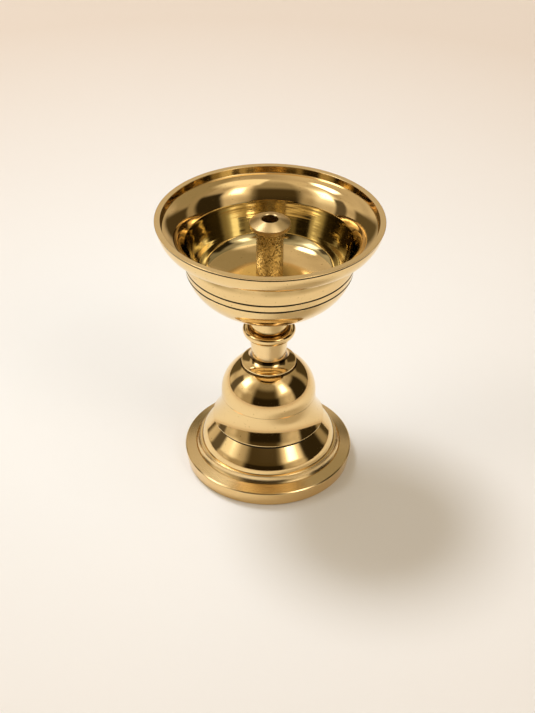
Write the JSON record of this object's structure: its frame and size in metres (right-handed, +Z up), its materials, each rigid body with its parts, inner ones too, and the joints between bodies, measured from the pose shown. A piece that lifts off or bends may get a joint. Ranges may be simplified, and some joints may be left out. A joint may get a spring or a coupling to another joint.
{
  "type": "diya oil lamp",
  "caption": "Brass diya: a flared oil bowl with a central wick holder, on a turned baluster stand with a bell-shaped foot.",
  "frame": {"origin": "centre of the ring that the foot stands on, at the level of the surface under it", "axes": "+Z up along the turned axis of the lamp; X and Y are free, because the lamp is round"},
  "size_m": [0.1, 0.1, 0.1305],
  "materials": {
    "polished_brass": "mirror polished and lacquered",
    "satin_brass": "turned satin",
    "cast_brass": "rough as cast, with a turned flange",
    "plated_steel": "zinc plated"
  },
  "bodies": {
    "stand": {"foot_plate": "satin_brass", "lower_bell": "polished_brass", "bell_dome": "polished_brass", "neck_flange": "polished_brass", "neck": "satin_brass", "knop": "polished_brass", "tie_rod": "plated_steel", "tie_washer": "plated_steel", "tie_nut": "plated_steel"},
    "bowl": {"bowl": "polished_brass"},
    "wick_holder": {"wick_holder": "cast_brass"}
  },
  "joints": [
    {"name": "bowl_lift", "type": "slide", "parent": "stand", "child": "bowl", "axis": [0, 0, 1], "range_m": [0, 0.02]},
    {"name": "wick_holder_lift", "type": "slide", "parent": "bowl", "child": "wick_holder", "axis": [0, 0, 1], "range_m": [0, 0.05]}
  ]
}
